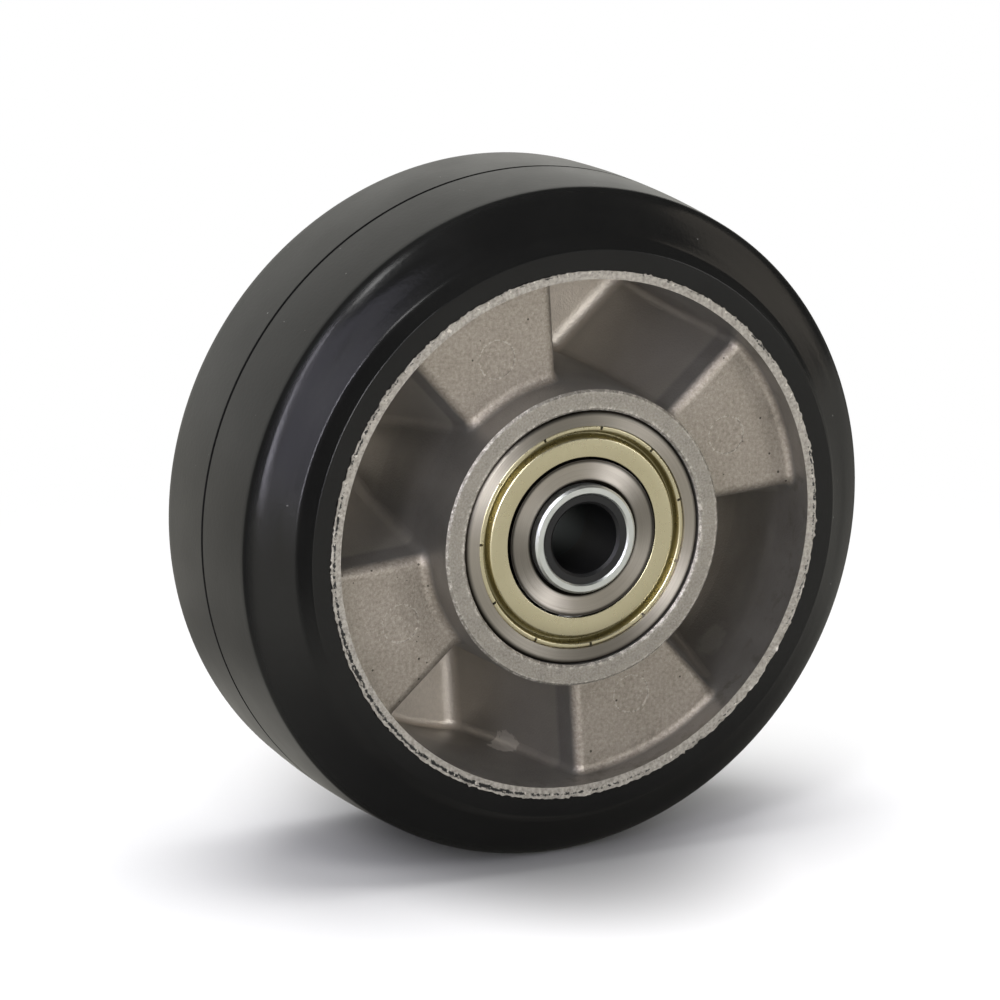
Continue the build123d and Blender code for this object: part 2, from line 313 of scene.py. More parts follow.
# %% Spin a section
def spin_outline(piece, steps):
    """Spins the outline once round the axle, closes its seam and shades it smooth."""
    bpy.ops.mesh.select_all(action="SELECT")
    bpy.ops.mesh.delete(type="ONLY_FACE")
    bpy.ops.mesh.select_all(action="SELECT")
    bpy.ops.mesh.spin(steps=steps, angle=math.tau, center=(0, 0, 0), axis=(0, 1, 0))
    bpy.ops.mesh.select_all(action="SELECT")
    bpy.ops.mesh.remove_doubles(threshold=0.001 * MM)
    bpy.ops.mesh.normals_make_consistent(inside=False)
    bpy.ops.object.mode_set(mode="OBJECT")
    bpy.ops.object.shade_smooth_by_angle(angle=math.radians(35))
    print(piece.name, len(piece.data.vertices), "vertices", len(piece.data.polygons), "faces")


# %% [markdown]
# ## The tyre
#
# The tyre is moulded in two halves round the casting. Where the halves met, a hair-thin line runs round the
# crowned tread. The shoulder is one soft curve, the bevel below it runs out to a raised band beside the rim, and a
# small radius fills the foot between the two. A solid from CAD has sharp edges there, so this piece replaces it.
# Half of the section is written down, and mirrored for the other half.

# %% Model the tyre
tread_radius = 62.48
crown, crown_half_width = 0.68, 17
mould_line = [(tread_radius - 0.36, 0.08, 0), (tread_radius, 0.26, 0.05)]
tread = [(tread_radius - crown * (along / crown_half_width) ** 2, along, 0) for along in (0.45, 3, 6, 9, 12, 15)]

shoulder_start, shoulder_corner, shoulder_end = Vector((61.89, 15.9)), Vector((61.8, 17.0)), Vector((57.81, 19.43))
shoulder = []
for step in range(13):
    part = step / 12
    bend = shoulder_start * (1 - part) ** 2 + shoulder_corner * 2 * part * (1 - part) + shoulder_end * part ** 2
    shoulder.append((bend.x, bend.y, 0))

bevel_foot = [(54.6, 21.385, 0), (54.35, 21.56, 0), (54.12, 21.77, 0), (53.94, 21.99, 0), (53.78, 22.23, 0)]
band = [(52.35, 24.98, 0.14), (48.45, 24.98, 0)]
inside_rim = [(48.45, 21.05, 0), (50.5, 19.0, 0)]
half_section = mould_line + tread + shoulder + bevel_foot + band + inside_rim
front_half = [(radius, -along, rounding) for radius, along, rounding in half_section]
tyre = draw_outline("rubber_tyre", front_half + half_section[::-1])
spin_outline(tyre, 288)

# %% [markdown]
# Tyre rubber is black because of the soot in it. The mould leaves the tread satin and the bevel nearly glossy, with
# flow streaks that run round the wheel, and specks of dust and fluff cling to it. Streaks are noise drawn out along
# the circumference: its coordinates change slowly round the wheel and quickly across it.

# %% Coordinates about the axle
def about_axle(tree):
    """Millimetre coordinates: the place, the radius, the distance along the axle, and the direction outward."""
    place = add_node(tree, "TexCoord").outputs["Object"]
    place = add_node(tree, "VectorMath", {0: place, "Scale": 1 / MM}, operation="SCALE").outputs["Vector"]
    along = add_node(tree, "SeparateXYZ", {"Vector": place}).outputs["Y"]
    flat = add_node(tree, "VectorMath", {0: place, 1: (1, 0, 1)}, operation="MULTIPLY").outputs["Vector"]
    radius = add_node(tree, "VectorMath", {0: flat}, operation="LENGTH").outputs["Value"]
    outward = add_node(tree, "VectorMath", {0: flat}, operation="NORMALIZE").outputs["Vector"]
    return place, radius, along, outward


def streaks(tree, outward, radius, along, length, width):
    """Noise coordinates that stretch a pattern round the wheel, with its length and width in millimetres."""
    bevel_radius = 55
    turned = add_node(tree, "VectorMath", {0: outward, "Scale": bevel_radius / length}, operation="SCALE")
    across = add_node(tree, "Math", {0: radius, 1: along}, operation="ADD").outputs[0]
    across = add_node(tree, "Math", {0: across, 1: 1 / width}, operation="MULTIPLY").outputs[0]
    across = add_node(tree, "CombineXYZ", {"X": across, "Y": across}).outputs[0]
    return add_node(tree, "VectorMath", {0: turned.outputs["Vector"], 1: across}, operation="ADD").outputs["Vector"]


# %% [markdown]
# The tread is up to 16 mm from the middle, and everything further out is the side. On the side, the bevel is what
# lies outside the raised band. The mould line reaches 0.3 mm to each side of the middle and fades out at 0.5 mm.

# %% Moulded tyre rubber: places
moulded_rubber, tree = new_material("moulded_tyre_rubber")
place, radius, along, outward = about_axle(tree)
distance_out = add_node(tree, "Math", {0: along}, operation="ABSOLUTE").outputs[0]
on_side = add_node(tree, "MapRange", {"Value": distance_out, "From Min": 16.0, "From Max": 17.5}).outputs["Result"]
off_band = add_node(tree, "MapRange", {"Value": radius, "From Min": 52.6, "From Max": 54.0}).outputs["Result"]
on_bevel = add_node(tree, "Math", {0: on_side, 1: off_band}, operation="MULTIPLY").outputs[0]
seam = add_node(tree, "MapRange", {"Value": distance_out, "From Min": 0.5, "From Max": 0.3}).outputs["Result"]
print("rubber: tread, side, bevel and mould line told apart")

# %% Moulded tyre rubber: gloss
flow = add_node(tree, "TexNoise", {
    "Vector": streaks(tree, outward, radius, along, 26, 3.4), "Scale": 1.0, "Detail": 1.0, "Roughness": 0.4,
    "Distortion": 0.3,
}).outputs["Fac"]
cloud = add_node(tree, "TexNoise", {"Vector": place, "Scale": 0.07, "Detail": 4.0, "Roughness": 0.6}).outputs["Fac"]
gloss = add_node(tree, "MapRange", {"Value": on_side, "To Min": 0.38, "To Max": 0.19}).outputs["Result"]
uneven = add_node(tree, "MapRange", {
    "Value": flow, "From Min": 0.3, "From Max": 0.7, "To Min": -0.03, "To Max": 0.05,
}).outputs["Result"]
uneven = add_node(tree, "Math", {0: uneven, 1: on_bevel}, operation="MULTIPLY").outputs[0]
patchy = add_node(tree, "MapRange", {
    "Value": cloud, "From Min": 0.3, "From Max": 0.7, "To Min": -0.03, "To Max": 0.03,
}).outputs["Result"]
uneven = add_node(tree, "Math", {0: uneven, 1: patchy}, operation="ADD").outputs[0]
roughness = add_node(tree, "Math", {0: gloss, 1: uneven}, operation="ADD").outputs[0]
roughness = add_node(tree, "MapRange", {"Value": seam, "To Min": roughness, "To Max": 0.9}).outputs["Result"]
print("rubber: satin tread, glossier bevel with streaks")

# %% [markdown]
# Dust is scattered by Voronoi cells about 3 mm apart: a speck sits in the middle of a cell. Each cell's random
# colour says three things about its speck: whether there is one (red), how large it is (green) and how pale (blue).
# A little noise on the coordinates bends the specks into fluff.

# %% Moulded tyre rubber: colour
fluff = add_node(tree, "TexNoise", {"Vector": place, "Scale": 2.2, "Detail": 2.0}).outputs["Color"]
fluff = add_node(tree, "VectorMath", {0: fluff, "Scale": 0.5}, operation="SCALE").outputs["Vector"]
fluff = add_node(tree, "VectorMath", {0: place, 1: fluff}, operation="ADD").outputs["Vector"]
cells = add_node(tree, "TexVoronoi", {"Vector": fluff, "Scale": 0.32, "Randomness": 1.0})
chance = add_node(tree, "SeparateColor", {"Color": cells.outputs["Color"]})
speck_size = add_node(tree, "MapRange", {"Value": chance.outputs["Green"], "To Min": 0.025, "To Max": 0.065})
speck = add_node(tree, "MapRange", {
    "Value": cells.outputs["Distance"], "From Min": speck_size.outputs["Result"], "From Max": 0.015,
    "To Max": chance.outputs["Blue"],
}).outputs["Result"]
dusty_cell = add_node(tree, "Math", {0: chance.outputs["Red"], 1: 0.45}, operation="GREATER_THAN").outputs[0]
dust = add_node(tree, "Math", {0: speck, 1: dusty_cell}, operation="MULTIPLY").outputs[0]
soot = add_node(tree, "MixRGB", {0: cloud, 1: linear("#0e0e0e"), 2: linear("#161615")}).outputs["Color"]
colour = add_node(tree, "MixRGB", {0: dust, 1: soot, 2: linear("#9a9a97")}).outputs["Color"]
colour = add_node(tree, "MixRGB", {0: seam, 1: colour, 2: linear("#050505")}).outputs["Color"]
print("rubber: soot black, dust and a dark mould line")

# %% [markdown]
# Long low swells and finer ripples bend the bevel's mirror images, as the flow of rubber in the mould does. The
# tread only has a fine skin. Rubber isn't a metal: its IOR is 1.52, about as high as that of glass. In the photograph
# it mirrors less than that gives, so the specular level is 0.33 instead of Blender's 0.5.

# %% Moulded tyre rubber: relief and shader
swell = add_node(tree, "TexNoise", {
    "Vector": streaks(tree, outward, radius, along, 24, 7.0), "Scale": 1.0, "Detail": 0.0,
}).outputs["Fac"]
swell = add_node(tree, "Math", {0: swell, 1: 2.3}, operation="MULTIPLY").outputs[0]
ripple = add_node(tree, "Math", {0: flow, 1: 0.3}, operation="MULTIPLY").outputs[0]
waves = add_node(tree, "Math", {0: ripple, 1: swell}, operation="ADD").outputs[0]
waves = add_node(tree, "Math", {0: waves, 1: on_bevel}, operation="MULTIPLY").outputs[0]
skin = add_node(tree, "TexNoise", {"Vector": place, "Scale": 1.3, "Detail": 3.0}).outputs["Fac"]
height = add_node(tree, "Math", {0: skin, 1: 0.3}, operation="MULTIPLY").outputs[0]
height = add_node(tree, "Math", {0: height, 1: waves}, operation="ADD").outputs[0]
relief = add_node(tree, "Bump", {"Height": height, "Distance": 0.06 * MM, "Strength": 1.0})
rubber = add_node(tree, "BsdfPrincipled", {
    "Base Color": colour, "Roughness": roughness, "Normal": relief.outputs["Normal"], "IOR": 1.52,
    "Specular IOR Level": 0.33,
})
add_node(tree, "OutputMaterial", {"Surface": rubber.outputs[0]})
tyre.data.materials.append(moulded_rubber)
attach(tyre, "wheel")
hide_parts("tyre")
print("tyre finished with", moulded_rubber.name)

# %% [markdown]
# ## The cast centre
#
# The centre is one aluminium casting, and its CAD solid already has the right shape down to the fillets, so it
# stays and only gets its finish. As-cast aluminium is a warm grey metal whose skin differs from place to place. So
# the first step is a list of places. Each row turns a measure, in millimetres or as the way a face looks, into a
# number from 0 to 1: the place, the measure, where it isn't there yet, and where it is in full.

# %% As-cast aluminium: places
cast_aluminium, tree = new_material("as_cast_aluminium")
place, radius, along = about_axle(tree)[:3]
distance_out = add_node(tree, "Math", {0: along}, operation="ABSOLUTE").outputs[0]
facing = add_node(tree, "TexCoord").outputs["Normal"]
facing = add_node(tree, "SeparateXYZ", {"Vector": facing}).outputs["Y"]
facing = add_node(tree, "Math", {0: facing}, operation="ABSOLUTE").outputs[0]
on = {}
for area, measure, none, full in (
    ("walls", facing, 0.7, 0.3),
    ("flat_faces", facing, 0.3, 0.7),
    ("painted_light_pocket_floors", distance_out, 15.5, 14.5),
    ("rim_wall", radius, 43.0, 45.0),
    ("above_pads", distance_out, 18.0, 20.0),
    ("end_faces", distance_out, 24.6, 24.9),
    ("hub_edge", radius, 26.5, 27.0),
    ("seat_edge", radius, 24.5, 23.9),
):
    on[area] = add_node(tree, "MapRange", {"Value": measure, "From Min": none, "From Max": full}).outputs["Result"]
print("casting:", ", ".join(on))

# %% [markdown]
# The casting's skin has a sandy grain of about half a millimetre, soft clouds about 8 mm across, painted glints as
# pale specks of colour where a grain stands up, and small dark pores where gas was caught. All are noise at different
# scales, in features per millimetre. The second list stretches them: where each starts to count, where it counts in
# full, and how much at most.

# %% As-cast aluminium: noises
noise = {}
for name, scale, detail, rough in (
    ("grain", 2.4, 3.0, 0.6),
    ("clouds", 0.13, 5.0, 0.65),
    ("sand", 1.5, 3.0, 0.7),
    ("stains", 0.3, 4.0, 0.65),
    ("patches", 0.5, 3.0, 0.6),
    ("sparkle", 1.3, 4.0, 0.7),
    ("rub", 0.7, 4.0, 0.65),
):
    noise[name] = add_node(tree, "TexNoise", {
        "Vector": place, "Scale": scale, "Detail": detail, "Roughness": rough,
    }).outputs["Fac"]
share = {}
for name, source, start, end, most in (
    ("cloudy", "clouds", 0.3, 0.7, 1.0),
    ("sandy", "sand", 0.3, 0.7, 1.0),
    ("painted_glints", "grain", 0.6, 0.76, 0.5),
    ("stained", "stains", 0.52, 0.68, 0.4),
    ("crumbly", "grain", 0.32, 0.72, 1.0),
    ("patchy", "patches", 0.35, 0.65, 1.0),
    ("painted_sparkle", "sparkle", 0.47, 0.63, 1.0),
):
    share[name] = add_node(tree, "MapRange", {
        "Value": noise[source], "From Min": start, "From Max": end, "To Max": most,
    }).outputs["Result"]
print("casting:", len(noise), "noises,", len(share), "shares")

# %% As-cast aluminium: skin
clouds = add_node(tree, "MixRGB", {0: share["cloudy"], 1: linear("#9a9185"), 2: linear("#aea59a")}).outputs["Color"]
sand = add_node(tree, "MixRGB", {0: share["sandy"], 1: linear("#7f776c"), 2: linear("#c6beb2")}).outputs["Color"]
skin = add_node(tree, "MixRGB", {0: 0.5, 1: clouds, 2: sand}).outputs["Color"]
# Painted glints: pale specks of colour on the grain.
skin = add_node(tree, "MixRGB", {0: share["painted_glints"], 1: skin, 2: linear("#ddd6cc")}).outputs["Color"]
cells = add_node(tree, "TexVoronoi", {"Vector": place, "Scale": 0.55, "Randomness": 1.0})
chance = add_node(tree, "SeparateColor", {"Color": cells.outputs["Color"]})
pore_size = add_node(tree, "MapRange", {"Value": chance.outputs["Red"], "From Min": 0.4, "To Max": 0.14})
pore = add_node(tree, "Math", {0: cells.outputs["Distance"], 1: pore_size.outputs["Result"]}, operation="LESS_THAN")
skin = add_node(tree, "MixRGB", {0: pore.outputs[0], 1: skin, 2: linear("#5b554d")}).outputs["Color"]
print("casting: clouds, sand, glints and pores")

# %% [markdown]
# Draft walls slide along the steel mould as it opens, which wipes them smoother and greyer. Their colour is also
# painted darker, as painted shade. The pocket floors are painted paler than the pads, as painted light. The wall
# under the rim has dark stains.

# %% As-cast aluminium: walls, floors and stains
# Painted shade: the walls are coloured darker as well as greyer.
wiped_and_shaded = add_node(tree, "MixRGB", {0: share["cloudy"], 1: linear("#8d8a85"), 2: linear("#9c9994")}).outputs["Color"]
skin = add_node(tree, "MixRGB", {0: on["walls"], 1: skin, 2: wiped_and_shaded}).outputs["Color"]
# Painted light: the deep pocket floors are coloured paler.
floors = add_node(tree, "Math", {0: on["painted_light_pocket_floors"], 1: facing}, operation="MULTIPLY").outputs[0]
skin = add_node(tree, "MixRGB", {0: floors, 1: skin, 2: linear("#ebe2d6")}).outputs["Color"]
stains = share["stained"]
for area in ("rim_wall", "above_pads"):
    stains = add_node(tree, "Math", {0: stains, 1: on[area]}, operation="MULTIPLY").outputs[0]
skin = add_node(tree, "MixRGB", {0: stains, 1: skin, 2: linear("#66625b")}).outputs["Color"]
print("casting: walls, floors and stains")

# %% [markdown]
# The end faces of hub and lips were trimmed, which leaves them greyer and crumbly. The hub's outer edge and the
# edge of the bearing's seat were knocked in handling. They carry painted sparkle: pale spots that stand in for
# glints.

# %% As-cast aluminium: trimmed faces
dull = add_node(tree, "MixRGB", {0: share["patchy"], 1: linear("#8b867d"), 2: linear("#9f998f")}).outputs["Color"]
trimmed = add_node(tree, "MixRGB", {0: share["crumbly"], 1: dull, 2: linear("#b5b0a7")}).outputs["Color"]
# Painted sparkle: pale spots on the knocked edges stand in for glints.
knocked_edge_sparkle = add_node(tree, "Math", {0: on["hub_edge"], 1: on["seat_edge"]}, operation="MAXIMUM").outputs[0]
knocked_edge_sparkle = add_node(tree, "Math", {0: knocked_edge_sparkle, 1: share["painted_sparkle"]}, operation="MULTIPLY").outputs[0]
trimmed = add_node(tree, "MixRGB", {0: knocked_edge_sparkle, 1: trimmed, 2: linear("#e4dfd6")}).outputs["Color"]
on_ends = add_node(tree, "Math", {0: on["end_faces"], 1: on["flat_faces"]}, operation="MULTIPLY").outputs[0]
colour = add_node(tree, "MixRGB", {0: on_ends, 1: skin, 2: trimmed}).outputs["Color"]
print("casting: trimmed ends")

# %% [markdown]
# Ejector pins pushed the casting out of its mould, and the solid has their shallow round marks. On the front pads
# the burr round each mark is painted as a faint broken pale ring, a painted highlight along its edge. To draw a line
# where a measure has a given value, one subtracts the value, drops the sign, and keeps what is close to zero. The
# function does that here, and for the bearing's rings and shields below.

# %% Rings of the ejector pins
def near_value(tree, measure, value, none, full, most=1.0):
    """How close a measure is to a value: nothing at a distance of none, and most at a distance of full."""
    distance = add_node(tree, "Math", {0: measure, 1: value}, operation="SUBTRACT").outputs[0]
    distance = add_node(tree, "Math", {0: distance}, operation="ABSOLUTE").outputs[0]
    return add_node(tree, "MapRange", {
        "Value": distance, "From Min": none, "From Max": full, "To Max": most,
    }).outputs["Result"]


pin_circle, pin_radius, first_pin = 35.5, 3.5, 22.5
across_wheel = add_node(tree, "VectorMath", {0: place, 1: (1, 0, 1)}, operation="MULTIPLY").outputs["Vector"]
broken = add_node(tree, "MapRange", {"Value": share["sandy"], "From Min": 0.4, "From Max": 0.7, "To Max": 0.65})
for quarter in range(4):
    turn = math.radians(first_pin + 90 * quarter)
    pin = (pin_circle * math.cos(turn), 0, pin_circle * math.sin(turn))
    from_pin = add_node(tree, "VectorMath", {0: across_wheel, 1: pin}, operation="DISTANCE").outputs["Value"]
    # Painted highlight: a pale broken ring along the edge of each pin mark.
    burr_highlight = near_value(tree, from_pin, pin_radius, 0.22, 0.08, broken.outputs["Result"])
    colour = add_node(tree, "MixRGB", {0: burr_highlight, 1: colour, 2: linear("#d8d2c8")}).outputs["Color"]
    print("pin ring at", round(math.degrees(turn), 1), "degrees")

# %% [markdown]
# Handling rubbed two spots to brighter metal: a sharp one low on the rim's wall and a soft one at the lower right.
# Each is a ball about a point, with noise added to the distance so that its edge is ragged.

# %% Rub marks
raggedness, noise_middle = 4.0, 1.9
for spot, size, softness, brightness in (
    ((-1.8, -0.3, -46.9), 3.7, 0.3, 0.8),
    ((36.4, -8.4, -28.6), 3.4, 1.8, 0.25),
):
    edge = size + noise_middle
    away = add_node(tree, "VectorMath", {0: place, 1: spot}, operation="DISTANCE").outputs["Value"]
    away = add_node(tree, "Math", {0: noise["rub"], 1: raggedness, 2: away}, operation="MULTIPLY_ADD").outputs[0]
    mark = add_node(tree, "MapRange", {
        "Value": away, "From Min": edge + softness / 2, "From Max": edge - softness / 2, "To Max": brightness,
    }).outputs["Result"]
    colour = add_node(tree, "MixRGB", {0: mark, 1: colour, 2: linear("#dedad2")}).outputs["Color"]
    print("rub mark at", spot)

# %% [markdown]
# Now all layers go into one metal shader, with the grain as its relief. Metallic is a little below 1, because the
# oxide on a casting isn't metal. The solid's plain material is taken off and this one put in its place.

# %% Dress the casting
def dress(names, material):
    """Gives CAD nodes one material in place of their plain one."""
    for name in names:
        nodes[name].data.materials.clear()
        nodes[name].data.materials.append(material)
    print(material.name, "on", len(names), "nodes")


roughness = add_node(tree, "MapRange", {"Value": noise["clouds"], "To Min": 0.42, "To Max": 0.58}).outputs["Result"]
relief = add_node(tree, "Bump", {"Height": noise["grain"], "Distance": 0.09 * MM, "Strength": 1.0}).outputs["Normal"]
metal = add_node(tree, "BsdfPrincipled", {
    "Base Color": colour, "Metallic": 0.85, "Roughness": roughness, "Normal": relief,
})
add_node(tree, "OutputMaterial", {"Surface": metal.outputs[0]})
dress(["wheel_centre"], cast_aluminium)

# %% [markdown]
# The rim's lips were sheared off after the tyre was moulded on. That left a torn edge: crumbs of aluminium stand
# out over the rubber, and smears of rubber are pressed between them. The torn ring starts as a circle, is extruded
# outward in steps, and each new edge loop is shaken a little more than the one before. It is also pushed slightly
# down and to the left, where the shear left more metal.

# %% Tear the rim's lips
lip_start, lip_face, lip_thickness = 46.97, 25.23, 0.2
lip_loops = ((47.3, 0.03), (47.7, 0.05), (48.1, 0.08), (48.5, 0.12), (48.72, 0.28))


def torn_lip(name, outward, seed):
    """A thin ragged ring on the face of one lip. outward is -1 for the front and 1 for the rear."""
    bpy.ops.object.select_all(action="DESELECT")
    bpy.ops.mesh.primitive_circle_add(vertices=560, radius=lip_start * MM, rotation=(math.pi / 2, 0, 0))
    lip = bpy.context.object
    lip.name = lip.data.name = name
    bpy.ops.object.transform_apply(location=False, rotation=True, scale=False)
    bpy.ops.object.mode_set(mode="EDIT")
    bpy.ops.mesh.select_all(action="SELECT")
    bpy.ops.transform.translate(value=(0, outward * lip_face * MM, 0))
    before = lip_start
    for radius, shake in lip_loops:
        bpy.ops.mesh.extrude_edges_move()
        bpy.ops.transform.resize(value=(radius / before, 1, radius / before))
        bpy.ops.transform.translate(value=(-0.02 * MM, 0, -0.05 * MM))
        bpy.ops.transform.vertex_random(offset=shake * MM, uniform=0, normal=0, seed=seed)
        before = radius
        seed += 1
    bpy.ops.mesh.select_all(action="SELECT")
    bpy.ops.mesh.extrude_region_move(TRANSFORM_OT_translate={"value": (0, -outward * lip_thickness * MM, 0)})
    bpy.ops.mesh.select_all(action="SELECT")
    bpy.ops.mesh.normals_make_consistent(inside=False)
    bpy.ops.object.mode_set(mode="OBJECT")
    bpy.ops.object.shade_smooth_by_angle(angle=math.radians(50))
    print(name, len(lip.data.polygons), "faces")
    return lip


torn_lips = [torn_lip("front_torn_lip", -1, 3), torn_lip("rear_torn_lip", 1, 40)]

# %% [markdown]
# Rubber is smeared where a fine noise passes a limit. Three slow changes push that noise up or down: smears gather
# on a ridge near the outer edge, they come in stretches, and more of them are pressed on at the lower left.

# %% Sheared aluminium: where rubber is smeared
sheared_aluminium, tree = new_material("sheared_aluminium")
place, radius, _, outward = about_axle(tree)
ridge_radius = 48.25
shreds = add_node(tree, "TexNoise", {"Vector": place, "Scale": 1.1, "Detail": 5.0, "Roughness": 0.75})
stretches = add_node(tree, "TexNoise", {"Vector": place, "Scale": 0.05, "Detail": 1.0})
from_ridge = add_node(tree, "Math", {0: radius, 1: ridge_radius}, operation="SUBTRACT").outputs[0]
from_ridge = add_node(tree, "Math", {0: from_ridge}, operation="ABSOLUTE").outputs[0]
pressed_side = add_node(tree, "VectorMath", {0: outward, 1: (-0.83, 0.0, -0.56)}, operation="DOT_PRODUCT")
smear = shreds.outputs["Fac"]
for measure, start, end, at_start, at_end in (
    (from_ridge, 0.1, 0.75, 0.12, -0.25),
    (stretches.outputs["Fac"], 0.4, 0.62, -0.05, 0.05),
    (pressed_side.outputs["Value"], 0.2, 0.9, -0.09, 0.06),
):
    push = add_node(tree, "MapRange", {
        "Value": measure, "From Min": start, "From Max": end, "To Min": at_start, "To Max": at_end,
    }).outputs["Result"]
    smear = add_node(tree, "Math", {0: smear, 1: push}, operation="ADD").outputs[0]
smear = add_node(tree, "MapRange", {"Value": smear, "From Min": 0.56, "From Max": 0.6}).outputs["Result"]
print("lips: smears gather at radius", ridge_radius, "mm")

# %% Sheared aluminium: crumbs and shader
crumbs = add_node(tree, "TexNoise", {"Vector": place, "Scale": 1.5, "Detail": 4.0, "Roughness": 0.6})
crumbled = add_node(tree, "MapRange", {"Value": crumbs.outputs["Fac"], "From Min": 0.36, "From Max": 0.62})
bright = add_node(tree, "MixRGB", {0: crumbled.outputs["Result"], 1: linear("#8d8880"), 2: linear("#b6b1a7")})
colour = add_node(tree, "MixRGB", {0: smear, 1: bright.outputs["Color"], 2: linear("#121211")})
metallic = add_node(tree, "MapRange", {"Value": smear, "To Min": 0.6, "To Max": 0.0}).outputs["Result"]
relief = add_node(tree, "Bump", {"Height": crumbs.outputs["Fac"], "Distance": 0.09 * MM, "Strength": 1.0})
metal = add_node(tree, "BsdfPrincipled", {
    "Base Color": colour.outputs["Color"], "Metallic": metallic, "Roughness": 0.5, "Normal": relief.outputs["Normal"],
})
add_node(tree, "OutputMaterial", {"Surface": metal.outputs[0]})
for lip in torn_lips:
    lip.data.materials.append(sheared_aluminium)
    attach(lip, "wheel")
print("lips finished with", sheared_aluminium.name)

# %% [markdown]
# ## The bearings
#
# Bearing rings are hard steel with a grey satin shine. Turned or ground steel spreads light across its fine lines
# and not along them, so a lamp shows as bright wedges that meet at the axle. The shader does that when it is
# anisotropic and its tangent runs round the axle. The two kinds of ring are given different directions, which puts
# their wedges at different hours, as in the photograph. The rings' rounded corners, and the step beside the shield
# on the inner ring, aren't ground and stay dark.

# %% Bearing steel
def ring_steel(name, fine_lines):
    """Bearing steel with unground corners. fine_lines turns the shine, as a part of a full turn."""
    steel, tree = new_material(name)
    _, radius, along, outward = about_axle(tree)
    marks = add_node(tree, "TexNoise", {
        "Vector": streaks(tree, outward, radius, along, 60, 0.2), "Scale": 1.0, "Detail": 2.0,
    })
    outer_corner = add_node(tree, "MapRange", {"Value": radius, "From Min": 22.4, "From Max": 23.1})
    bore_corner = add_node(tree, "MapRange", {"Value": radius, "From Min": 11.1, "From Max": 10.7})
    step_radius = 14.2
    unground = near_value(tree, radius, step_radius, 0.5, 0.1, 0.9)
    for corner in (outer_corner, bore_corner):
        unground = add_node(tree, "Math", {0: unground, 1: corner.outputs["Result"]}, operation="MAXIMUM").outputs[0]
    ground = add_node(tree, "MixRGB", {0: marks.outputs["Fac"], 1: linear("#b1aaa0"), 2: linear("#cec8bf")})
    colour = add_node(tree, "MixRGB", {0: unground, 1: ground.outputs["Color"], 2: linear("#38342f")})
    roughness = add_node(tree, "MapRange", {"Value": marks.outputs["Fac"], "To Min": 0.34, "To Max": 0.48})
    relief = add_node(tree, "Bump", {"Height": marks.outputs["Fac"], "Distance": 0.02 * MM, "Strength": 1.0})
    around_axle = add_node(tree, "Tangent", direction_type="RADIAL", axis="Y")
    metal = add_node(tree, "BsdfPrincipled", {
        "Base Color": colour.outputs["Color"], "Metallic": 1.0, "Roughness": roughness.outputs["Result"],
        "Anisotropic": 0.9, "Anisotropic Rotation": fine_lines, "Tangent": around_axle.outputs["Tangent"],
        "Normal": relief.outputs["Normal"],
    })
    add_node(tree, "OutputMaterial", {"Surface": metal.outputs[0]})
    return steel


dress(["front_outer_ring", "rear_outer_ring"], ring_steel("turned_bearing_steel", 0.25))
dress(["front_inner_ring", "rear_inner_ring"], ring_steel("ground_bearing_steel", 0.0))

# %% [markdown]
# The shields are thin steel sheet, zinc-plated and passivated yellow, which gives a pale brassy mirror. Little
# light reaches the bottom of their pressed valley, so its colour is painted darker there, as painted shade.

# %% Yellow-passivated sheet
yellow_sheet, tree = new_material("yellow_passivated_sheet")
place, radius = about_axle(tree)[:2]
valley_radius = 19.05
patches = add_node(tree, "TexNoise", {"Vector": place, "Scale": 0.12, "Detail": 3.0})
rolled = add_node(tree, "TexNoise", {"Vector": place, "Scale": 0.9, "Detail": 2.0})
colour = add_node(tree, "MixRGB", {0: patches.outputs["Fac"], 1: linear("#e0d7b3"), 2: linear("#ebe3c1")})
# Painted shade: the colour darkens at the bottom of the pressed valley.
valley = near_value(tree, radius, valley_radius, 0.68, 0.4, 0.85)
colour = add_node(tree, "MixRGB", {0: valley, 1: colour.outputs["Color"], 2: linear("#8a8364")})
roughness = add_node(tree, "MapRange", {"Value": rolled.outputs["Fac"], "To Min": 0.22, "To Max": 0.36})
relief = add_node(tree, "Bump", {"Height": rolled.outputs["Fac"], "Distance": 0.005 * MM, "Strength": 0.5})
metal = add_node(tree, "BsdfPrincipled", {
    "Base Color": colour.outputs["Color"], "Metallic": 1.0, "Roughness": roughness.outputs["Result"],
    "Normal": relief.outputs["Normal"],
})
add_node(tree, "OutputMaterial", {"Surface": metal.outputs[0]})
dress([name for name in nodes if name.endswith("_shield")], yellow_sheet)

# %% [markdown]
# The two shields that show are pressed from 0.4 mm sheet, so every fold is round and catches a line of light.
# Their rolled rim is cut into eleven tongues that spring into the outer ring. The section is drawn with its folds
# rounded and spun. One cutter block is then modelled, copied round the rim, and taken away from the sheet.

# %% A cutter for the tongues
def tongue_cutter(outward):
    """Eleven thin blocks in one mesh, set through the shield's rim."""
    tongues, first_notch = 11, 13.4
    bpy.ops.object.select_all(action="DESELECT")
    bpy.ops.mesh.primitive_cube_add(size=MM)
    cutter = bpy.context.object
    bpy.ops.object.mode_set(mode="EDIT")
    bpy.ops.mesh.select_all(action="SELECT")
    bpy.ops.transform.resize(value=(2.4, 6, 0.45))
    bpy.ops.transform.translate(value=(21.0 * MM, outward * 26 * MM, 0))
    bpy.ops.object.mode_set(mode="OBJECT")
    start = Matrix.Rotation(math.radians(first_notch * outward), 4, "Y")
    blocks = bmesh.new()
    for number in range(tongues):
        block = cutter.data.copy()
        block.transform(start @ Matrix.Rotation(number * math.tau / tongues, 4, "Y"))
        blocks.from_mesh(block)
        bpy.data.meshes.remove(block)
    blocks.to_mesh(cutter.data)
    blocks.free()
    return cutter


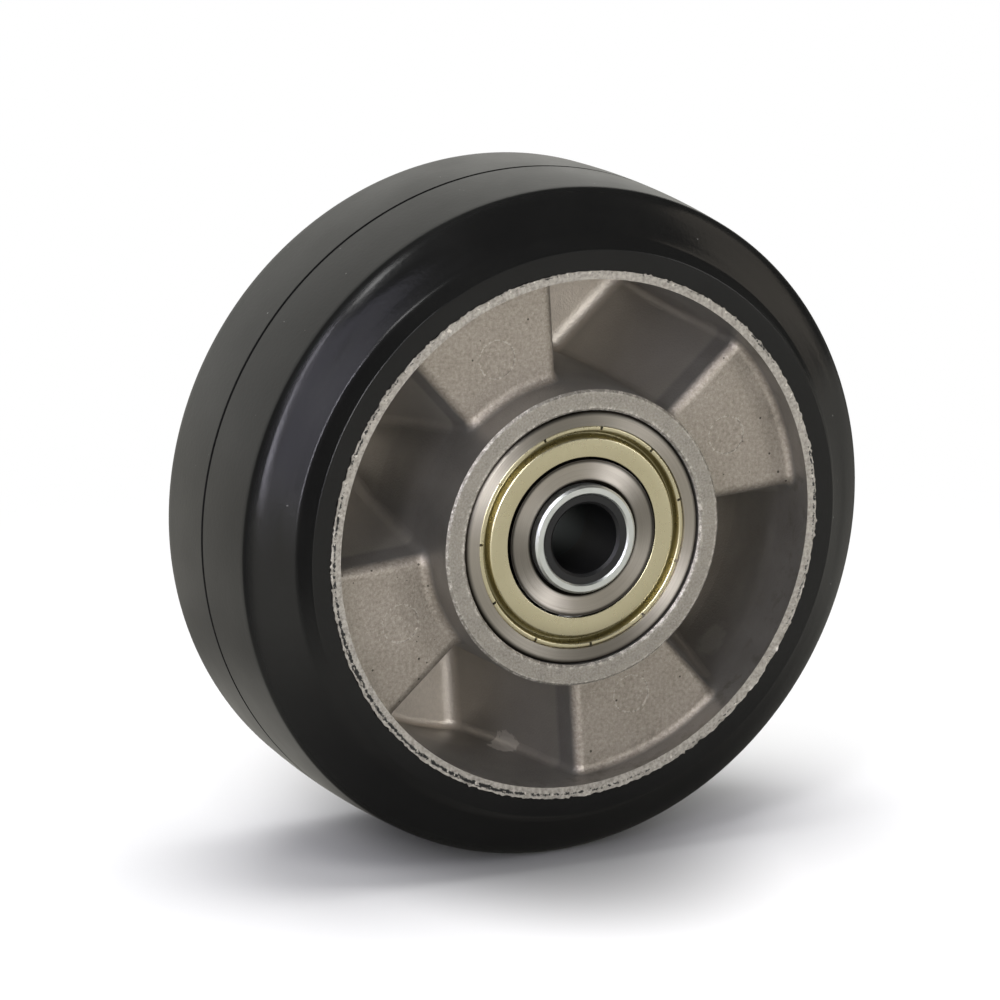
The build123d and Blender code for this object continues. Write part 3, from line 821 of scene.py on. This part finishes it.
# %% Press the outboard shields
def pressed_shield(name, outward):
    """One outboard shield. outward is -1 for the front bearing and 1 for the rear one."""
    top, valley, sheet = 26.8, 25.3, 0.4
    under, valley_under = top - sheet, valley - sheet
    section = [
        (14.8, top, 0.15), (18.3, top, 0.25), (18.75, valley, 0.3), (19.25, valley, 0.3), (19.7, top, 0.2),
        (20.56, top, 0.3), (20.56, top - 1.2, 0), (20.16, top - 1.2, 0), (20.16, under, 0.1), (19.95, under, 0.1),
        (19.5, valley_under, 0.2), (18.5, valley_under, 0.2), (18.05, under, 0.15), (14.8, under, 0.1),
    ]
    shield = draw_outline(name, [(radius, outward * along, rounding) for radius, along, rounding in section])
    spin_outline(shield, 220)

    cutter = tongue_cutter(outward)
    cut = shield.modifiers.new("notches", "BOOLEAN")
    cut.operation = "DIFFERENCE"
    cut.solver = "EXACT"
    cut.object = cutter
    bpy.ops.object.select_all(action="DESELECT")
    shield.select_set(True)
    bpy.context.view_layer.objects.active = shield
    bpy.ops.object.modifier_apply(modifier=cut.name)
    bpy.data.objects.remove(cutter)
    bpy.ops.object.shade_smooth_by_angle(angle=math.radians(35))
    print(name, len(shield.data.polygons), "faces after its notches")
    return shield


for end, outward_sign in (("front", -1), ("rear", 1)):
    shield = pressed_shield(f"{end}_pressed_shield", outward_sign)
    shield.data.materials.append(yellow_sheet)
    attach(shield, "wheel")
    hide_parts(f"{end}_outboard_shield")

# %% [markdown]
# ## The tube and the bushes
#
# The axle tube is steel with bright zinc plate, a hazy mirror. Inside a radius of 8.3 mm, its bore is coloured a dark
# grey. The bushes in its ends are moulded black nylon, a dull plastic.

# %% Bright zinc plate
zinc_plate, tree = new_material("bright_zinc_plate")
place, radius = about_axle(tree)[:2]
haze = add_node(tree, "TexNoise", {"Vector": place, "Scale": 0.5, "Detail": 4.0})
bright = add_node(tree, "MixRGB", {0: haze.outputs["Fac"], 1: linear("#e2e8e5"), 2: linear("#fbfdfb")})
outside_bore = add_node(tree, "MapRange", {"Value": radius, "From Min": 8.25, "From Max": 8.35}).outputs["Result"]
colour = add_node(tree, "MixRGB", {0: outside_bore, 1: linear("#3d4346"), 2: bright.outputs["Color"]})
roughness = add_node(tree, "MapRange", {"Value": haze.outputs["Fac"], "To Min": 0.3, "To Max": 0.42})
relief = add_node(tree, "Bump", {"Height": haze.outputs["Fac"], "Distance": 0.01 * MM, "Strength": 0.5})
metal = add_node(tree, "BsdfPrincipled", {
    "Base Color": colour.outputs["Color"], "Metallic": 1.0, "Roughness": roughness.outputs["Result"],
    "Normal": relief.outputs["Normal"],
})
add_node(tree, "OutputMaterial", {"Surface": metal.outputs[0]})
dress(["axle_tube", "bearing_spacer"], zinc_plate)

# %% Black nylon
black_nylon, tree = new_material("black_nylon")
place = about_axle(tree)[0]
skin = add_node(tree, "TexNoise", {"Vector": place, "Scale": 2.5, "Detail": 3.0})
colour = add_node(tree, "MixRGB", {0: skin.outputs["Fac"], 1: linear("#0b0b0c"), 2: linear("#131314")})
roughness = add_node(tree, "MapRange", {"Value": skin.outputs["Fac"], "To Min": 0.38, "To Max": 0.52})
relief = add_node(tree, "Bump", {"Height": skin.outputs["Fac"], "Distance": 0.02 * MM, "Strength": 0.6})
plastic = add_node(tree, "BsdfPrincipled", {
    "Base Color": colour.outputs["Color"], "Roughness": roughness.outputs["Result"], "IOR": 1.53,
    "Normal": relief.outputs["Normal"],
})
add_node(tree, "OutputMaterial", {"Surface": plastic.outputs[0]})
dress(["front_bush", "rear_bush"], black_nylon)

# %% [markdown]
# ## The balls and the cages
#
# Balls are lapped until they are mirrors. Cages are plain pressed steel strip, oily and a little dull. Both are
# hidden behind the shields, but whoever takes the wheel apart will see them.

# %% Polished balls
polished_steel, tree = new_material("polished_ball_steel")
place = about_axle(tree)[0]
film = add_node(tree, "TexNoise", {"Vector": place, "Scale": 0.8, "Detail": 2.0})
roughness = add_node(tree, "MapRange", {"Value": film.outputs["Fac"], "To Min": 0.05, "To Max": 0.14})
metal = add_node(tree, "BsdfPrincipled", {
    "Base Color": linear("#d2d0cf"), "Metallic": 1.0, "Roughness": roughness.outputs["Result"],
})
add_node(tree, "OutputMaterial", {"Surface": metal.outputs[0]})
dress([name for name in nodes if "_ball_" in name], polished_steel)

# %% Pressed cages
cage_sheet, tree = new_material("pressed_cage_steel")
place = about_axle(tree)[0]
strip = add_node(tree, "TexNoise", {"Vector": place, "Scale": 1.4, "Detail": 3.0})
colour = add_node(tree, "MixRGB", {0: strip.outputs["Fac"], 1: linear("#8d8c8a"), 2: linear("#a8a6a3")})
roughness = add_node(tree, "MapRange", {"Value": strip.outputs["Fac"], "To Min": 0.3, "To Max": 0.5})
metal = add_node(tree, "BsdfPrincipled", {
    "Base Color": colour.outputs["Color"], "Metallic": 1.0, "Roughness": roughness.outputs["Result"],
})
add_node(tree, "OutputMaterial", {"Surface": metal.outputs[0]})
dress([name for name in nodes if "_cage_" in name], cage_sheet)

# %% [markdown]
# ## The end
#
# The Standard view shows a colour about as it is written.

# %% Set the view transform
bpy.context.scene.view_settings.view_transform = "Standard"
